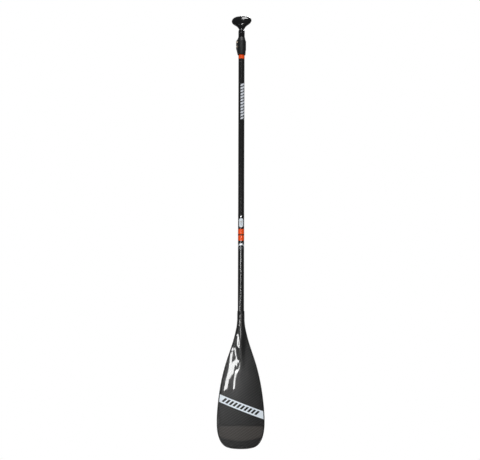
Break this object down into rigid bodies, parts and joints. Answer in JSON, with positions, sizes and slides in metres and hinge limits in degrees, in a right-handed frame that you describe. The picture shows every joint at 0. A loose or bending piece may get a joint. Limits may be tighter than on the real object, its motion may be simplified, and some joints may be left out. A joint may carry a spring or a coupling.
{
  "type": "single blade paddle",
  "caption": "Adjustable take-apart stand-up paddle: canted carbon blade, jointed shaft with a snap button, lever clamp and telescoping palm grip.",
  "frame": {"origin": "on the shaft's axis, where the upper section's tube rests on the lower section's joint ring", "axes": "+Z along the shaft towards the grip; the blade's back faces -Y and its tip leans that way; +X across the blade, on the lever's side"},
  "size_m": [0.198, 0.1084, 1.799],
  "materials": {
    "carbon": "carbon laminate under a clear coat",
    "black_nylon": "moulded nylon, fine grain",
    "grip_plastic": "polished hard plastic",
    "orange_wrap": "glossy orange film",
    "pale_label": "pale printed film",
    "steel": "satin stainless steel",
    "blade_skin": "twill carbon under a clear coat",
    "rail_plastic": "tough black edge plastic",
    "foam": "closed-cell foam",
    "fibreglass": "ground composite tube",
    "bare_ring": "low-friction plastic"
  },
  "bodies": {
    "upper_section": {"upper_shaft": "carbon", "band_upper": "orange_wrap", "band_top": "orange_wrap", "joint_label": "pale_label", "clamp_collar": "black_nylon", "clamp_screws": "steel", "clamp_nuts": "steel", "lever_pin": "steel"},
    "lever": {"clamp_lever": "black_nylon"},
    "shoe": {"clamp_shoe": "bare_ring"},
    "guide": {"guide_ring": "bare_ring"},
    "handle": {"grip_body": "grip_plastic", "grip_cap": "grip_plastic", "extension_tube": "carbon", "extension_plug": "black_nylon"},
    "lower_section": {"lower_shaft": "carbon", "band_lower": "orange_wrap", "foot_band": "pale_label", "float_plug": "foam", "neck_collar": "black_nylon", "ferrule": "fibreglass", "ferrule_plug": "foam", "joint_ring": "black_nylon", "button_spring": "steel", "edge_rail": "rail_plastic", "blade_front_skin": "blade_skin", "blade_rear_skin": "blade_skin", "blade_core": "foam"},
    "button": {"snap_button": "steel"}
  },
  "joints": [
    {"name": "section_pull", "type": "slide", "parent": "upper_section", "child": "lower_section", "axis": [0, 0, -1], "range_m": [0, 0.15], "deforming": ["snap_button"]},
    {"name": "snap_button_press", "type": "slide", "parent": "lower_section", "child": "button", "axis": [0, 1, 0], "range_m": [0, 0.004], "stiffness_N_per_m": 1500, "deforming": ["button_spring"]},
    {"name": "lever_open", "type": "hinge", "parent": "upper_section", "child": "lever", "pos_m": [0.00824, 0.01767, 0.797], "axis": [0, 0, 1], "range_deg": [0, 130]},
    {"name": "shoe_release", "type": "slide", "parent": "upper_section", "child": "shoe", "axis": [0.4226, 0.9063, 0], "range_m": [0, 0.00081]},
    {"name": "handle_slide", "type": "slide", "parent": "upper_section", "child": "guide", "axis": [0, 0, 1], "range_m": [0, 0.4]},
    {"name": "handle_twist", "type": "hinge", "parent": "guide", "child": "handle", "pos_m": [0, 0, 0.8], "axis": [0, 0, 1], "continuous": true}
  ],
  "couplings": [
    {"joint": "shoe_release", "follows": "lever_open", "m_per_rad": 0.00035259}
  ]
}
